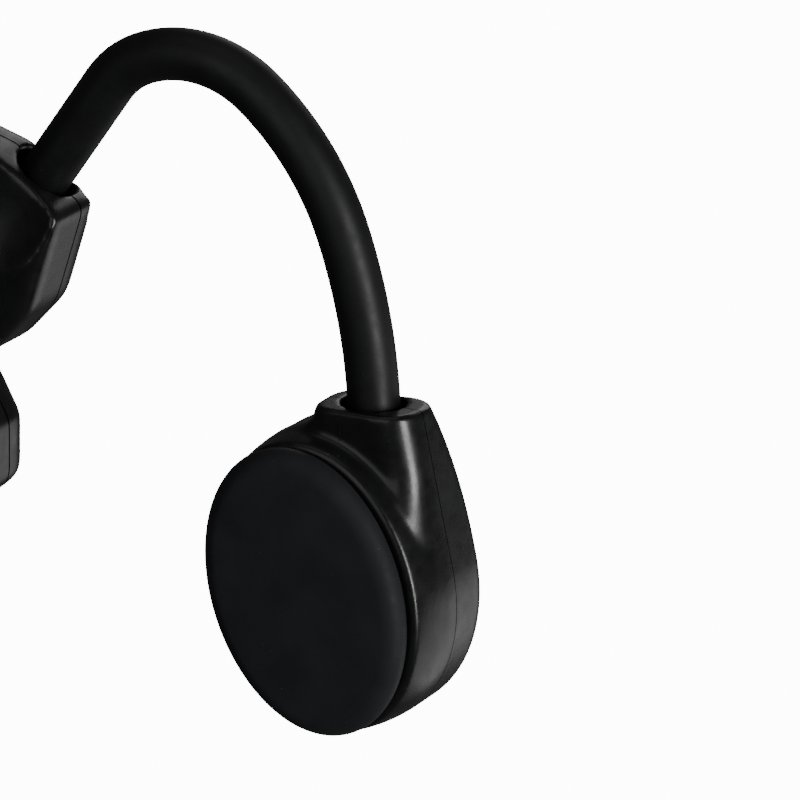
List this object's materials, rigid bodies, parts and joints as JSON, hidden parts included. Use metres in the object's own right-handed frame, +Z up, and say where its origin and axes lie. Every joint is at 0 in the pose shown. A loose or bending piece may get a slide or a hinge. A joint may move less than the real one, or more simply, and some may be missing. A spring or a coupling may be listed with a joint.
{
  "type": "bone conduction headphones",
  "caption": "Open-ear headset: oval bone conduction earphones on arched ear hooks, behind-ear housings and a springy neckband that rests low at the back.",
  "frame": {"origin": "middle of the bounding box's bottom: the table under the headset, half way between the front of the earphones and the back of the neckband", "axes": "+X toward the wearer's left, -Y the way the wearer faces, +Z up"},
  "size_m": [0.1446, 0.1143, 0.0584],
  "materials": {
    "shell_plastic": "satin moulded ABS, fine spark texture",
    "pad_silicone": "matt soft-touch silicone",
    "tube_silicone": "satin silicone",
    "inner_plastic": "unpainted glass-filled nylon",
    "button_plastic": "satin",
    "switch_plastic": "matt",
    "spring_steel": "rolled",
    "titanium_wire": "drawn",
    "screw_steel": "blackened",
    "copper_winding": "enamelled wire",
    "iron": "zinc plated",
    "magnet_nickel": "nickel plated",
    "foam": "closed-cell foam",
    "microphone_can": "drawn can",
    "ferrule_brass": "turned",
    "lead_insulation": "insulation",
    "battery_foil": "laminated pouch",
    "board": "solder mask",
    "port_steel": "stamped",
    "light_lens": "clear light pipe"
  },
  "bodies": {
    "neckband": {"neckband_sleeve": "tube_silicone", "neckband_wire": "titanium_wire", "neckband_leads": "lead_insulation"},
    "left_side": {"left_hook_sleeve": "tube_silicone", "left_hook_wire": "titanium_wire", "left_hook_leads": "lead_insulation", "left_housing_inner_shell": "shell_plastic", "left_housing_outer_shell": "shell_plastic", "left_housing_screws": "screw_steel", "left_collar_ferrule": "ferrule_brass", "left_band_ferrule": "ferrule_brass", "battery": "battery_foil"},
    "right_side": {"right_hook_sleeve": "tube_silicone", "right_hook_wire": "titanium_wire", "right_hook_leads": "lead_insulation", "right_housing_inner_shell": "shell_plastic", "right_housing_outer_shell": "shell_plastic", "right_housing_screws": "screw_steel", "right_collar_ferrule": "ferrule_brass", "right_band_ferrule": "ferrule_brass", "circuit_board": "board", "radio_module": "microphone_can", "volume_switches": "switch_plastic", "status_light": "light_lens", "charging_port": "port_steel", "port_board": "board"},
    "left_pod": {"left_pod_inner_shell": "shell_plastic", "left_pod_outer_shell": "shell_plastic", "left_ear_pad": "pad_silicone", "left_drive_plate": "inner_plastic", "left_transducer_frame": "inner_plastic", "left_flexure_plate": "spring_steel", "left_transducer_screws": "screw_steel", "left_voice_coil": "copper_winding", "left_pole_piece": "iron", "left_magnet": "magnet_nickel", "left_yoke": "iron", "left_yoke_damper": "foam", "left_microphone": "microphone_can", "left_neck_ferrule": "ferrule_brass", "call_switch": "switch_plastic"},
    "right_pod": {"right_pod_inner_shell": "shell_plastic", "right_pod_outer_shell": "shell_plastic", "right_ear_pad": "pad_silicone", "right_drive_plate": "inner_plastic", "right_transducer_frame": "inner_plastic", "right_flexure_plate": "spring_steel", "right_transducer_screws": "screw_steel", "right_voice_coil": "copper_winding", "right_pole_piece": "iron", "right_magnet": "magnet_nickel", "right_yoke": "iron", "right_yoke_damper": "foam", "right_microphone": "microphone_can", "right_neck_ferrule": "ferrule_brass"},
    "call_button": {"call_button": "button_plastic"},
    "volume_up_button": {"volume_up_button": "button_plastic"},
    "volume_down_button": {"volume_down_button": "button_plastic"},
    "port_cover": {"port_cover": "tube_silicone"}
  },
  "joints": [
    {"name": "left_band_flex", "type": "hinge", "parent": "neckband", "child": "left_side", "pos_m": [0.04594, 0.04358, 0.00624], "axis": [0, 0, 1], "range_deg": [-6, 15], "stiffness_Nm_per_rad": 0.35, "deforming": ["neckband_sleeve", "neckband_wire", "neckband_leads"]},
    {"name": "right_band_flex", "type": "hinge", "parent": "neckband", "child": "right_side", "pos_m": [-0.04594, 0.04358, 0.00624], "axis": [0, 0, -1], "range_deg": [-6, 15], "stiffness_Nm_per_rad": 0.35, "deforming": ["neckband_sleeve", "neckband_wire", "neckband_leads"]},
    {"name": "left_hook_flex", "type": "hinge", "parent": "left_side", "child": "left_pod", "pos_m": [0.06492, -0.03442, 0.05508], "axis": [0.1045, 0.9945, 0], "range_deg": [-8, 8], "stiffness_Nm_per_rad": 0.12, "deforming": ["left_hook_sleeve", "left_hook_wire", "left_hook_leads"]},
    {"name": "right_hook_flex", "type": "hinge", "parent": "right_side", "child": "right_pod", "pos_m": [-0.06492, -0.03442, 0.05508], "axis": [0.1045, -0.9945, 0], "range_deg": [-8, 8], "stiffness_Nm_per_rad": 0.12, "deforming": ["right_hook_sleeve", "right_hook_wire", "right_hook_leads"]},
    {"name": "call_button_press", "type": "slide", "parent": "left_pod", "child": "call_button", "axis": [-0.9945, 0.1045, 0], "range_m": [0, 0.00035], "stiffness_N_per_m": 400},
    {"name": "volume_up_press", "type": "slide", "parent": "right_side", "child": "volume_up_button", "axis": [0.9945, 0.1045, 0], "range_m": [0, 0.0003], "stiffness_N_per_m": 400},
    {"name": "volume_down_press", "type": "slide", "parent": "right_side", "child": "volume_down_button", "axis": [0.9945, 0.1045, 0], "range_m": [0, 0.0003], "stiffness_N_per_m": 400},
    {"name": "port_cover_hinge", "type": "hinge", "parent": "right_side", "child": "port_cover", "pos_m": [-0.06128, -0.01172, 0.02008], "axis": [0, 0, -1], "range_deg": [0, 100]}
  ]
}
